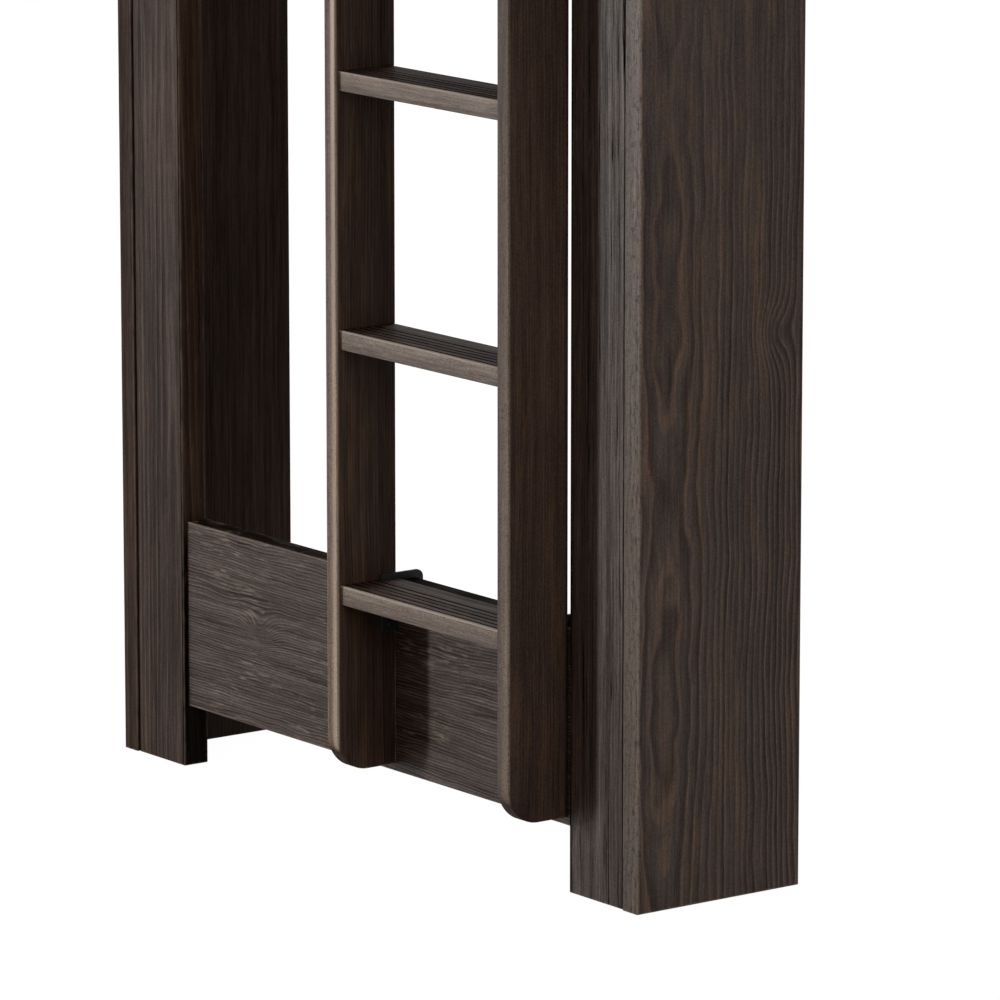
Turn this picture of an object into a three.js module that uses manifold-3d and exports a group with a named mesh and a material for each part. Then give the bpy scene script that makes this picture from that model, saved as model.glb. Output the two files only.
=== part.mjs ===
// High bunk bed with a hook-on ladder, in stained pine boards. Millimetres, +Z up.
// Facing the ladder end, +X is to the right and +Y runs away along the bed.
// While the bed is laid out, y = 0 is the front edge of the legs at the ladder end and z = 0 the floor.
import * as THREE from 'three';
import { mergeVertices } from 'three/addons/utils/BufferGeometryUtils.js';
import Module from 'manifold-3d';

const wasm = await Module();
wasm.setup();

// ---------------------------------------------------------------- driving dimensions

const MATTRESS_WIDTH = 990; // clear width between the side boards of the legs
const MATTRESS_LENGTH = 1905;
const MATTRESS_END_ROOM = 5; // at each end of the mattress

const JOINT_GAP = 0.2; // left between any two faces that meet
const EDGE_EASE = 1.5; // rounding of a board's edges
const EASE_STEPS = 2;

const LEG_ABOVE_GUARDS = 24; // top of the legs above the guard rails
const SIDE_BOARD_THICK = 28;
const SIDE_BOARD_DEPTH = 237;
const FRONT_BOARD_WIDTH = 102;
const FRONT_BOARD_SETBACK = 2; // behind the side board's edge

const GLIDE_HEIGHT = 1.5;
const GLIDE_RADIUS = 11;
const GLIDE_CHAMFER = 0.5;

const END_BOARD_HEIGHT = 233;
const END_BOARD_THICK = 29;
const END_BOARD_RECESS = 6; // behind the face of the front boards
const LOW_BOARD_BOTTOM = 78; // above the floor

const RUNG_PITCH = 305;
const RUNG_COUNT = 4;
const RUNG_ABOVE_BOARD = 3; // lowest tread above the low end board's top edge
const RUNG_THICK = 23;
const RUNG_SETBACK = 6; // behind the front edge of the stiles
const RUNG_HOUSING = 5; // depth of each rung end in its stile
const RUNG_NOSE = 2.5; // rounding of the tread's front edge
const GROOVE_COUNT = 5;
const GROOVE_FIRST = 5; // from the tread's front to the first groove
const GROOVE_PITCH = 11;
const GROOVE_WIDTH = 3;
const GROOVE_DEPTH = 1.8;
const GROOVE_DRAFT = 0.6; // how far each groove wall leans in

const STILE_THICK = 20;
const STILE_DEPTH = 86;
const STILE_BOTTOM = 88; // above the floor
const STILE_CORNER = 44; // rounding of the front corners
const LADDER_CLEAR_WIDTH = 315; // between the stiles
const LADDER_TO_LEG = 11; // from the right stile to the right leg
const LADDER_STAND_OFF = 0.5; // from the stiles to the end boards

const HOOK_THICK = 4;
const HOOK_RISE = 10; // of the bar above the end board's edge
const HOOK_SEAT_GAP = 0.3; // under the bar
const HOOK_LIP_GAP = 0.5; // behind the end board
const HOOK_LIP_THICK = 7;
const HOOK_LIP_DROP = 28; // below the end board's edge
const HOOK_CORNER = 9; // rounding of the outer corner
const HOOK_TONGUE_WIDTH = 24; // on the stile
const HOOK_TONGUE_DROP = 60; // below the end board's edge
const HOOK_NOTCH_ROOM = 0.5; // round the tongue where it passes a rung
const HOOK_SCREW_RADIUS = 2.4;
const HOOK_SCREW_RISES = [10, 28]; // screw holes, above the tongue's lower end

const GUARD_HEIGHT = 110;
const GUARD_GAP = 75; // from the bed sides up to the guard rails
const GUARD_POST_WIDTH = 70;
const GUARD_POST_THICK = 28;
const GUARD_BLOCK_LENGTH = 70;
const GUARD_BLOCKS_PER_SIDE = 2;
const LADDER_ENTRY_ROOM = 19; // from the guard post to the ladder

const SLAT_COUNT = 12;
const SLAT_WIDTH = 70;
const SLAT_THICK = 18;
const SLAT_END_ROOM = 1.5;
const CLEAT_THICK = 30;
const CLEAT_HEIGHT = 40;
const CLEAT_ABOVE_BOARD_BOTTOM = 2;

const BOLT_RADIUS = 4;
const BOLT_HEAD_RADIUS = 8;
const BOLT_HEAD_THICK = 3;
const BOLT_HEAD_CHAMFER = 0.6;
const BOLT_BITE = 22; // into the slat cleat
const BOLT_ROOM = 0.3; // round the bolt in its hole
const BOLT_SOCKET_RADIUS = 2.9;
const BOLT_SOCKET_DEPTH = 2.2;
const BOLT_FRONT_SETBACK = 75; // first bolt, from the front edge of the side board
const BOLT_BACK_SETBACK = 42; // second bolt, from the board's back edge

const ROUND_SEGMENTS = 32;

// ---------------------------------------------------------------- levels and planes

const HALF_WELL = MATTRESS_WIDTH / 2;
const HALF_WIDTH = HALF_WELL + SIDE_BOARD_THICK;
const LEG_BOTTOM = GLIDE_HEIGHT + JOINT_GAP;
const FRONT_BOARD_INNER = HALF_WELL - FRONT_BOARD_WIDTH; // |x| of the front boards' inner edges

const END_BOARD_FACE = FRONT_BOARD_SETBACK + END_BOARD_RECESS;
const END_BOARD_BACK = END_BOARD_FACE + END_BOARD_THICK;
const FRONT_BOARD_BACK = END_BOARD_BACK; // flush inside the bed
const BED_LENGTH = 2 * END_BOARD_BACK + MATTRESS_LENGTH + 2 * MATTRESS_END_ROOM;

const UPPER_BOARD_BOTTOM = LOW_BOARD_BOTTOM + RUNG_COUNT * RUNG_PITCH;
const LOW_BOARD_TOP = LOW_BOARD_BOTTOM + END_BOARD_HEIGHT;
const UPPER_BOARD_TOP = UPPER_BOARD_BOTTOM + END_BOARD_HEIGHT;
const GUARD_BOTTOM = UPPER_BOARD_TOP + GUARD_GAP;
const GUARD_TOP = GUARD_BOTTOM + GUARD_HEIGHT;
const LEG_TOP = GUARD_TOP + LEG_ABOVE_GUARDS;

const CLEAT_BOTTOM = UPPER_BOARD_BOTTOM + CLEAT_ABOVE_BOARD_BOTTOM;
const CLEAT_TOP = CLEAT_BOTTOM + CLEAT_HEIGHT;
const CLEAT_OUTER = HALF_WELL - JOINT_GAP;

const STILE_BACK = END_BOARD_FACE - LADDER_STAND_OFF;
const STILE_FRONT = STILE_BACK - STILE_DEPTH;
const LADDER_RIGHT = FRONT_BOARD_INNER - LADDER_TO_LEG;
const LADDER_INNER_RIGHT = LADDER_RIGHT - STILE_THICK;
const LADDER_INNER_LEFT = LADDER_INNER_RIGHT - LADDER_CLEAR_WIDTH;
const LADDER_LEFT = LADDER_INNER_LEFT - STILE_THICK;
const RUNG_DEPTH = STILE_DEPTH - RUNG_SETBACK;
const ENTRY_LEFT = LADDER_LEFT - LADDER_ENTRY_ROOM;

// ---------------------------------------------------------------- finishes

function finish(color, roughness, metalness) {
  return () => new THREE.MeshStandardMaterial({ color, roughness, metalness });
}

const legPine = finish(0x463c36, 0.62, 0);
const railPine = finish(0x51473f, 0.66, 0);
const ladderPine = finish(0x4a3e36, 0.6, 0);
const slatPine = finish(0x54483e, 0.75, 0);
const blackSteel = finish(0x17171a, 0.45, 0.9);
const bronzedSteel = finish(0x3a332c, 0.4, 0.9);
const nylon = finish(0x2b2826, 0.55, 0);

// ---------------------------------------------------------------- shaping tools

function place(name, geometry, material, position = [0, 0, 0]) {
  const mesh = new THREE.Mesh(geometry, material());
  mesh.name = name;
  mesh.position.set(...position);
  return mesh;
}

// Turns a geometry drawn in x, y and raised along z so that it is raised along the given axis.
function raisedAlong(axis, geometry) {
  const directions = [new THREE.Vector3(1, 0, 0), new THREE.Vector3(0, 1, 0), new THREE.Vector3(0, 0, 1)];
  const across = directions[(axis + 1) % 3];
  const up = directions[(axis + 2) % 3];
  return geometry.applyMatrix4(new THREE.Matrix4().makeBasis(across, up, directions[axis]));
}

// The outline of a board's section, centred, with rounded corners.
function boardSection(width, height, radius) {
  const x = width / 2 - radius;
  const y = height / 2 - radius;
  const section = new THREE.Shape();
  section.absarc(x, y, radius, 0, Math.PI / 2);
  section.absarc(-x, y, radius, Math.PI / 2, Math.PI);
  section.absarc(-x, -y, radius, Math.PI, 1.5 * Math.PI);
  section.absarc(x, -y, radius, 1.5 * Math.PI, 2 * Math.PI);
  return section;
}

// A board that fills the box between two corners, with its grain along the longest side.
function board(name, material, low, high) {
  const size = high.map((value, axis) => value - low[axis]);
  const middle = high.map((value, axis) => (value + low[axis]) / 2);
  const grain = size.indexOf(Math.max(...size));
  const section = boardSection(size[(grain + 1) % 3], size[(grain + 2) % 3], EDGE_EASE);
  const geometry = new THREE.ExtrudeGeometry(section, {
    depth: size[grain],
    bevelEnabled: false,
    curveSegments: EASE_STEPS,
  });
  geometry.translate(0, 0, -size[grain] / 2);
  return place(name, raisedAlong(grain, geometry), material, middle);
}

function box(low, high) {
  const size = high.map((value, axis) => value - low[axis]);
  const middle = high.map((value, axis) => (value + low[axis]) / 2);
  return place('', new THREE.BoxGeometry(...size), nylon, middle);
}

function rod(axis, radius, low, high, sides = ROUND_SEGMENTS) {
  const length = high[axis] - low[axis];
  const geometry = new THREE.CylinderGeometry(radius, radius, length, sides);
  geometry.rotateX(Math.PI / 2);
  const middle = high.map((value, index) => (value + low[index]) / 2);
  return place('', raisedAlong(axis, geometry), nylon, middle);
}

function solidOf(geometry) {
  const bare = geometry.clone();
  bare.deleteAttribute('normal');
  bare.deleteAttribute('uv');
  const merged = mergeVertices(bare);
  return new wasm.Manifold(new wasm.Mesh({
    numProp: 3,
    vertProperties: merged.getAttribute('position').array,
    triVerts: new Uint32Array(merged.getIndex().array),
  }));
}

// Cuts the cutters, placed in the same frame as the mesh, out of the mesh.
function carve(mesh, cutters) {
  mesh.updateMatrix();
  const intoMesh = mesh.matrix.clone().invert();
  let solid = solidOf(mesh.geometry);
  for (const cutter of cutters) {
    cutter.updateMatrix();
    const local = cutter.geometry.clone().applyMatrix4(cutter.matrix).applyMatrix4(intoMesh);
    solid = solid.subtract(solidOf(local));
  }
  const cut = solid.getMesh();
  const geometry = new THREE.BufferGeometry();
  geometry.setAttribute('position', new THREE.BufferAttribute(cut.vertProperties, 3));
  geometry.setIndex(new THREE.BufferAttribute(cut.triVerts, 1));
  geometry.computeVertexNormals();
  mesh.geometry = geometry;
  return mesh;
}

// The same span measured from the far end of the bed when far is true.
function endSpan(far, start, end) {
  return far ? [BED_LENGTH - end, BED_LENGTH - start] : [start, end];
}

// The same span on the left of the bed when side is -1.
function sideSpan(side, inner, outer) {
  return side > 0 ? [inner, outer] : [-outer, -inner];
}

const SIDES = [['left', -1], ['right', 1]];
const ENDS = [['ladder', false], ['far', true]];

// ---------------------------------------------------------------- legs

function boltPlaces() {
  const places = [];
  const setbacks = [BOLT_FRONT_SETBACK, SIDE_BOARD_DEPTH - BOLT_BACK_SETBACK];
  for (const [endName, far] of ENDS) {
    for (const [sideName, side] of SIDES) {
      setbacks.forEach((setback, index) => {
        const y = far ? BED_LENGTH - setback : setback;
        places.push({ name: `${endName}_${sideName}_bolt_${index + 1}`, far, side, y });
      });
    }
  }
  return places;
}

const BOLT_LEVEL = CLEAT_BOTTOM + CLEAT_HEIGHT / 2;
const BOLT_TIP = CLEAT_OUTER - BOLT_BITE; // |x| of the bolt's inner end
const BOLT_FACE = HALF_WIDTH - BOLT_ROOM; // |x| of the bolt's head, just below the board's face

// Room for one bolt: the shank's hole and the head's counterbore.
function boltRoom({ side, y }) {
  const shank = sideSpan(side, BOLT_TIP - BOLT_ROOM, HALF_WIDTH + 1);
  const head = sideSpan(side, HALF_WIDTH - BOLT_HEAD_THICK - 2 * BOLT_ROOM, HALF_WIDTH + 1);
  const along = ([low, high], radius) => rod(0, radius, [low, y, BOLT_LEVEL], [high, y, BOLT_LEVEL]);
  return [along(shank, BOLT_RADIUS + BOLT_ROOM), along(head, BOLT_HEAD_RADIUS + BOLT_ROOM)];
}

function legs() {
  const group = new THREE.Group();
  for (const [endName, far] of ENDS) {
    for (const [sideName, side] of SIDES) {
      const [x0, x1] = sideSpan(side, HALF_WELL, HALF_WIDTH);
      const [y0, y1] = endSpan(far, 0, SIDE_BOARD_DEPTH);
      const name = `${endName}_${sideName}_leg`;
      const sideBoard = board(`${name}_side_board`, legPine, [x0, y0, LEG_BOTTOM], [x1, y1, LEG_TOP]);
      const bolts = boltPlaces().filter((bolt) => bolt.far === far && bolt.side === side);
      group.add(carve(sideBoard, bolts.flatMap(boltRoom)));
      const [fx0, fx1] = sideSpan(side, FRONT_BOARD_INNER, HALF_WELL - JOINT_GAP);
      const [fy0, fy1] = endSpan(far, FRONT_BOARD_SETBACK, FRONT_BOARD_BACK);
      group.add(board(`${name}_front_board`, legPine, [fx0, fy0, LEG_BOTTOM], [fx1, fy1, LEG_TOP]));
      group.add(glide(`${endName}_${sideName}_glide`, (fx0 + fx1) / 2, (fy0 + fy1) / 2));
    }
  }
  return group;
}

function glide(name, x, y) {
  const profile = [
    new THREE.Vector2(0, 0),
    new THREE.Vector2(GLIDE_RADIUS - GLIDE_CHAMFER, 0),
    new THREE.Vector2(GLIDE_RADIUS, GLIDE_CHAMFER),
    new THREE.Vector2(GLIDE_RADIUS, GLIDE_HEIGHT),
    new THREE.Vector2(0, GLIDE_HEIGHT),
  ];
  const geometry = new THREE.LatheGeometry(profile, ROUND_SEGMENTS);
  geometry.rotateX(Math.PI / 2);
  return place(name, geometry, nylon, [x, y, 0]);
}

// ---------------------------------------------------------------- end boards and bed sides

function endBoards() {
  const group = new THREE.Group();
  const reach = FRONT_BOARD_INNER - JOINT_GAP;
  for (const [endName, far] of ENDS) {
    const [y0, y1] = endSpan(far, END_BOARD_FACE, END_BOARD_BACK);
    for (const [levelName, bottom] of [['low', LOW_BOARD_BOTTOM], ['upper', UPPER_BOARD_BOTTOM]]) {
      const top = bottom + END_BOARD_HEIGHT;
      group.add(board(`${endName}_${levelName}_end_board`, railPine, [-reach, y0, bottom], [reach, y1, top]));
    }
  }
  return group;
}

const SIDE_RAIL_START = SIDE_BOARD_DEPTH + JOINT_GAP;
const SIDE_RAIL_END = BED_LENGTH - SIDE_RAIL_START;

function bedSides() {
  const group = new THREE.Group();
  for (const [sideName, side] of SIDES) {
    const [x0, x1] = sideSpan(side, HALF_WELL, HALF_WIDTH);
    const low = [x0, SIDE_RAIL_START, UPPER_BOARD_BOTTOM];
    const high = [x1, SIDE_RAIL_END, UPPER_BOARD_TOP];
    group.add(board(`${sideName}_side_rail`, railPine, low, high));
    const [cx0, cx1] = sideSpan(side, CLEAT_OUTER - CLEAT_THICK, CLEAT_OUTER);
    const start = END_BOARD_BACK + JOINT_GAP;
    const cleatLow = [cx0, start, CLEAT_BOTTOM];
    const cleatHigh = [cx1, BED_LENGTH - start, CLEAT_TOP];
    const cleat = board(`${sideName}_slat_cleat`, slatPine, cleatLow, cleatHigh);
    const bolts = boltPlaces().filter((bolt) => bolt.side === side);
    group.add(carve(cleat, bolts.map((bolt) => boltRoom(bolt)[0])));
  }
  return group;
}

function slats() {
  const group = new THREE.Group();
  const reach = HALF_WELL - SLAT_END_ROOM;
  const bottom = CLEAT_TOP + JOINT_GAP;
  const start = END_BOARD_BACK;
  const well = BED_LENGTH - 2 * END_BOARD_BACK;
  const gap = (well - SLAT_COUNT * SLAT_WIDTH) / (SLAT_COUNT + 1);
  for (let index = 0; index < SLAT_COUNT; index += 1) {
    const y = start + gap + index * (SLAT_WIDTH + gap);
    const name = `slat_${String(index + 1).padStart(2, '0')}`;
    group.add(board(name, slatPine, [-reach, y, bottom], [reach, y + SLAT_WIDTH, bottom + SLAT_THICK]));
  }
  return group;
}

// ---------------------------------------------------------------- guard rails

function guards() {
  const group = new THREE.Group();
  const reach = FRONT_BOARD_INNER - JOINT_GAP;
  const blockBottom = UPPER_BOARD_TOP + JOINT_GAP;
  const blockTop = GUARD_BOTTOM - JOINT_GAP;
  for (const [sideName, side] of SIDES) {
    const [x0, x1] = sideSpan(side, HALF_WELL, HALF_WIDTH);
    const low = [x0, SIDE_RAIL_START, GUARD_BOTTOM];
    const high = [x1, SIDE_RAIL_END, GUARD_TOP];
    group.add(board(`${sideName}_guard_rail`, railPine, low, high));
    const bay = (SIDE_RAIL_END - SIDE_RAIL_START) / (GUARD_BLOCKS_PER_SIDE + 1);
    for (let index = 1; index <= GUARD_BLOCKS_PER_SIDE; index += 1) {
      const y = SIDE_RAIL_START + index * bay - GUARD_BLOCK_LENGTH / 2;
      const blockLow = [x0, y, blockBottom];
      const blockHigh = [x1, y + GUARD_BLOCK_LENGTH, blockTop];
      group.add(board(`${sideName}_guard_block_${index}`, railPine, blockLow, blockHigh));
    }
  }
  const [nearFace, nearBack] = endSpan(false, END_BOARD_FACE, END_BOARD_BACK);
  const [farFace, farBack] = endSpan(true, END_BOARD_FACE, END_BOARD_BACK);
  const ladderGuardLow = [-reach, nearFace, GUARD_BOTTOM];
  const ladderGuardHigh = [ENTRY_LEFT, nearBack, GUARD_TOP];
  group.add(board('ladder_end_guard_rail', railPine, ladderGuardLow, ladderGuardHigh));
  const postBack = nearFace - JOINT_GAP;
  const postLow = [ENTRY_LEFT - GUARD_POST_WIDTH, postBack - GUARD_POST_THICK, UPPER_BOARD_BOTTOM];
  const postHigh = [ENTRY_LEFT, postBack, GUARD_TOP];
  group.add(board('guard_post', railPine, postLow, postHigh));
  const farGuardLow = [-reach, farFace, GUARD_BOTTOM];
  const farGuardHigh = [reach, farBack, GUARD_TOP];
  group.add(board('far_end_guard_rail', railPine, farGuardLow, farGuardHigh));
  const half = GUARD_BLOCK_LENGTH / 2;
  group.add(board('far_end_guard_block', railPine, [-half, farFace, blockBottom], [half, farBack, blockTop]));
  return group;
}

// ---------------------------------------------------------------- ladder

// Profiles of the ladder are drawn in y and z and raised along x.
function raisedAcross(shape, thickness, steps) {
  const geometry = new THREE.ExtrudeGeometry(shape, {
    depth: thickness,
    bevelEnabled: false,
    curveSegments: steps,
  });
  return raisedAlong(0, geometry);
}

function stile(name, x) {
  const profile = new THREE.Shape();
  const top = GUARD_TOP;
  profile.moveTo(STILE_BACK, STILE_BOTTOM);
  profile.lineTo(STILE_BACK, top);
  const turn = STILE_FRONT + STILE_CORNER;
  profile.absarc(turn, top - STILE_CORNER, STILE_CORNER, Math.PI / 2, Math.PI);
  profile.absarc(turn, STILE_BOTTOM + STILE_CORNER, STILE_CORNER, Math.PI, 1.5 * Math.PI);
  return place(name, raisedAcross(profile, STILE_THICK, ROUND_SEGMENTS), ladderPine, [x, 0, 0]);
}

function rungTop(index) {
  return LOW_BOARD_TOP + RUNG_ABOVE_BOARD + index * RUNG_PITCH;
}

// Section of a tread: rounded nose, grooves for grip, square back.
function rungProfile() {
  const profile = new THREE.Shape();
  profile.moveTo(RUNG_DEPTH, 0);
  profile.lineTo(RUNG_DEPTH, RUNG_THICK);
  for (let index = GROOVE_COUNT - 1; index >= 0; index -= 1) {
    const front = GROOVE_FIRST + index * GROOVE_PITCH;
    profile.lineTo(front + GROOVE_WIDTH, RUNG_THICK);
    profile.lineTo(front + GROOVE_WIDTH - GROOVE_DRAFT, RUNG_THICK - GROOVE_DEPTH);
    profile.lineTo(front + GROOVE_DRAFT, RUNG_THICK - GROOVE_DEPTH);
    profile.lineTo(front, RUNG_THICK);
  }
  profile.absarc(RUNG_NOSE, RUNG_THICK - RUNG_NOSE, RUNG_NOSE, Math.PI / 2, Math.PI);
  profile.absarc(EDGE_EASE, EDGE_EASE, EDGE_EASE, Math.PI, 1.5 * Math.PI);
  return profile;
}

function rung(index) {
  const length = LADDER_CLEAR_WIDTH + 2 * (RUNG_HOUSING - JOINT_GAP);
  const x = LADDER_INNER_LEFT - RUNG_HOUSING + JOINT_GAP;
  const position = [x, STILE_FRONT + RUNG_SETBACK, rungTop(index) - RUNG_THICK];
  const steps = 3 * EASE_STEPS;
  return place(`rung_${index + 1}`, raisedAcross(rungProfile(), length, steps), ladderPine, position);
}

// Housings in both stiles for one rung.
function rungHousing(index) {
  const front = STILE_FRONT + RUNG_SETBACK - JOINT_GAP;
  const bottom = rungTop(index) - RUNG_THICK - JOINT_GAP;
  const low = [LADDER_INNER_LEFT - RUNG_HOUSING, front, bottom];
  const high = [LADDER_INNER_RIGHT + RUNG_HOUSING, STILE_BACK + 1, rungTop(index) + JOINT_GAP];
  return box(low, high);
}

// Hook plate on the inner face of a stile: a tongue on the stile, a bar over the end board, a lip behind.
function hook(name, x, boardTop) {
  const tongueFront = STILE_BACK - HOOK_TONGUE_WIDTH;
  const lipFront = END_BOARD_BACK + HOOK_LIP_GAP;
  const lipBack = lipFront + HOOK_LIP_THICK;
  const top = boardTop + HOOK_RISE;
  const seat = boardTop + HOOK_SEAT_GAP;
  const profile = new THREE.Shape();
  profile.moveTo(tongueFront, top);
  profile.lineTo(tongueFront, boardTop - HOOK_TONGUE_DROP);
  profile.lineTo(STILE_BACK, boardTop - HOOK_TONGUE_DROP);
  profile.lineTo(STILE_BACK, seat);
  profile.lineTo(lipFront, seat);
  profile.lineTo(lipFront, boardTop - HOOK_LIP_DROP);
  profile.lineTo(lipBack, boardTop - HOOK_LIP_DROP);
  profile.absarc(lipBack - HOOK_CORNER, top - HOOK_CORNER, HOOK_CORNER, 0, Math.PI / 2);
  const plate = place(name, raisedAcross(profile, HOOK_THICK, ROUND_SEGMENTS / 4), blackSteel, [x, 0, 0]);
  const y = STILE_BACK - HOOK_TONGUE_WIDTH / 2;
  const holes = HOOK_SCREW_RISES.map((rise) => {
    const z = boardTop - HOOK_TONGUE_DROP + rise;
    return rod(0, HOOK_SCREW_RADIUS, [x - 1, y, z], [x + HOOK_THICK + 1, y, z]);
  });
  return carve(plate, holes);
}

// Room in the rungs for the tongues of the two hooks at one end board.
function hookRoom(boardTop) {
  const front = STILE_BACK - HOOK_TONGUE_WIDTH - HOOK_NOTCH_ROOM;
  const reach = JOINT_GAP + HOOK_THICK + HOOK_NOTCH_ROOM;
  const low = boardTop - HOOK_TONGUE_DROP - HOOK_NOTCH_ROOM;
  const high = boardTop + HOOK_RISE + HOOK_NOTCH_ROOM;
  const past = RUNG_HOUSING + 1;
  return [
    box([LADDER_INNER_LEFT - past, front, low], [LADDER_INNER_LEFT + reach, STILE_BACK + 1, high]),
    box([LADDER_INNER_RIGHT - reach, front, low], [LADDER_INNER_RIGHT + past, STILE_BACK + 1, high]),
  ];
}

function ladder() {
  const group = new THREE.Group();
  const rungNumbers = Array.from({ length: RUNG_COUNT }, (_, index) => index);
  const housings = rungNumbers.map(rungHousing);
  group.add(carve(stile('ladder_left_stile', LADDER_LEFT), housings));
  group.add(carve(stile('ladder_right_stile', LADDER_INNER_RIGHT), housings));
  const hookCuts = [LOW_BOARD_TOP, UPPER_BOARD_TOP].flatMap(hookRoom);
  rungNumbers.forEach((index) => group.add(carve(rung(index), hookCuts)));
  for (const [levelName, boardTop] of [['low', LOW_BOARD_TOP], ['upper', UPPER_BOARD_TOP]]) {
    group.add(hook(`${levelName}_left_hook`, LADDER_INNER_LEFT + JOINT_GAP, boardTop));
    group.add(hook(`${levelName}_right_hook`, LADDER_INNER_RIGHT - JOINT_GAP - HOOK_THICK, boardTop));
  }
  return group;
}

// ---------------------------------------------------------------- bolts

// A furniture bolt drawn with its axis along z, its head's face at z = 0 and its tip below.
function boltGeometry() {
  const tip = BOLT_TIP - BOLT_FACE;
  const profile = [
    new THREE.Vector2(0, tip),
    new THREE.Vector2(BOLT_RADIUS, tip),
    new THREE.Vector2(BOLT_RADIUS, -BOLT_HEAD_THICK),
    new THREE.Vector2(BOLT_HEAD_RADIUS, -BOLT_HEAD_THICK),
    new THREE.Vector2(BOLT_HEAD_RADIUS, -BOLT_HEAD_CHAMFER),
    new THREE.Vector2(BOLT_HEAD_RADIUS - BOLT_HEAD_CHAMFER, 0),
    new THREE.Vector2(0, 0),
  ];
  const geometry = new THREE.LatheGeometry(profile, ROUND_SEGMENTS);
  return geometry.rotateX(Math.PI / 2);
}

function bolts() {
  const group = new THREE.Group();
  for (const { name, side, y } of boltPlaces()) {
    const bolt = place(name, boltGeometry(), bronzedSteel);
    const socket = rod(2, BOLT_SOCKET_RADIUS, [0, 0, -BOLT_SOCKET_DEPTH], [0, 0, 1], 6);
    carve(bolt, [socket]);
    bolt.rotation.y = side * Math.PI / 2;
    bolt.position.set(side * BOLT_FACE, y, BOLT_LEVEL);
    group.add(bolt);
  }
  return group;
}

// ---------------------------------------------------------------- the whole bed

const bunkBed = new THREE.Group();
bunkBed.add(legs(), endBoards(), bedSides(), slats(), guards(), ladder(), bolts());
bunkBed.position.y = -(STILE_FRONT + BED_LENGTH) / 2;

export default bunkBed;
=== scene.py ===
"""High bunk bed with a hook-on ladder, in dark stained brushed pine."""

import math
import random

import bmesh
import bpy
from bpy.props import FloatProperty, FloatVectorProperty, PointerProperty
from mathutils import Matrix, Vector


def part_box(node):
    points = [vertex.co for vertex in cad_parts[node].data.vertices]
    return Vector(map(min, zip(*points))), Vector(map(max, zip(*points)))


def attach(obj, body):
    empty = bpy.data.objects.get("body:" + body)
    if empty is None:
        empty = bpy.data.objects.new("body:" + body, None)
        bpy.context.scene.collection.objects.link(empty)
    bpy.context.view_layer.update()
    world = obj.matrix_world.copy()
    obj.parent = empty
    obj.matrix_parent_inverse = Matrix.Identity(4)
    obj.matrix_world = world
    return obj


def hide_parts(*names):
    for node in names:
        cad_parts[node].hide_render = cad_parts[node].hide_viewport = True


bl_info = {
    "name": "Bunk bed with ladder",
    "version": (1, 0, 0),
    "blender": (4, 5, 0),
    "location": "View3D > Sidebar > Bunk Bed",
    "description": "Finishes the boards, ladder and fittings of a high pine bunk bed",
    "category": "Object",
}

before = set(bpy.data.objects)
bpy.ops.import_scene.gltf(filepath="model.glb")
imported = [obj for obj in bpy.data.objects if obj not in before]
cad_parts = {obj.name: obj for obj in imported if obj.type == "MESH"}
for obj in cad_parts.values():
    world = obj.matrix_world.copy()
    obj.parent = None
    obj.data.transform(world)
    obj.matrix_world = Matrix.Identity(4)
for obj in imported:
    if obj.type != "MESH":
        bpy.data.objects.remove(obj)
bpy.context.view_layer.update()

WELD = 1e-6
SAME_PLANE = math.radians(0.5)
SHARP = math.radians(60.0)
UPRIGHT_LENGTH = 0.5

# Bare wood where the stain is rubbed off, which on a stile's front corner is also a painted highlight.
RUBBED_AND_HIGHLIGHT_STRIPE = (0.85, 0.66, 0.53, 1.0)
# A painted highlight along the upper front corner of a tread.
NOSE_HIGHLIGHT = (0.60, 0.50, 0.42, 1.0)

# The grey lacquer over the stain.
LACQUER_IOR = 1.8

# Screws: shares of a slat's width, and heights above a hook's lower edge.
SLAT_SCREW_SHARES = (0.27, 0.73)
HOOK_SCREW_RISES = (0.010, 0.028)

FITTINGS = {"bolt": "bolt_plating", "glide": "moulded_nylon"}

# Each light's place, the point it faces, and its width and height.
LIGHTS = {
    "key": ((-4.65, -7.25, 1.5), (0.15, -0.95, 0.8), (0.55, 3.0)),
    "side": ((6.5, -2.2, 2.2), (0.3, -0.9, 0.7), (2.5, 2.5)),
    "back": ((-3.6, 6.0, 3.0), (0.0, 0.0, 0.8), (3.0, 3.0)),
    "top": ((0.3, -1.2, 4.2), (0.1, -0.4, 0.6), (2.6, 2.6)),
}

FLOOR_REACH = 60.0
FLOOR_GLOW = 1.17
FLOOR_GLOW_SEEN = 0.84
FLOOR_GLOW_IN_SHINE = 0.34
SKY_SEEN = 1.04
SKY_IN_SHINE = 0.40

CAMERA_PLACE = (6.5381, -5.65685, 1.9923)
CAMERA_TURN = (math.radians(90.0 - 11.18), 0.0, math.radians(53.16))
CAMERA_LENS = 249.07
CAMERA_SENSOR = 36.0
CAMERA_REACH = 200.0

ENDS = ("ladder", "far")
SIDES = ("left", "right")
LEVELS = ("low", "upper")

# Inputs of the grain group, the point attributes that feed them and the outputs read.
BOARD_ATTRIBUTES = (
    ("Place", "grain", "Vector"),
    ("Half Size", "half", "Vector"),
    ("Seed", "seed", "Fac"),
)


# ------------------------------------------------------------------ settings


def colour_setting(name, description, default):
    return FloatVectorProperty(
        name=name,
        description=description,
        default=default,
        subtype="COLOR",
        size=3,
        min=0.0,
        max=1.0,
    )


def length_setting(name, description, default):
    return FloatProperty(
        name=name, description=description, default=default, unit="LENGTH", min=0.0
    )


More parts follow.
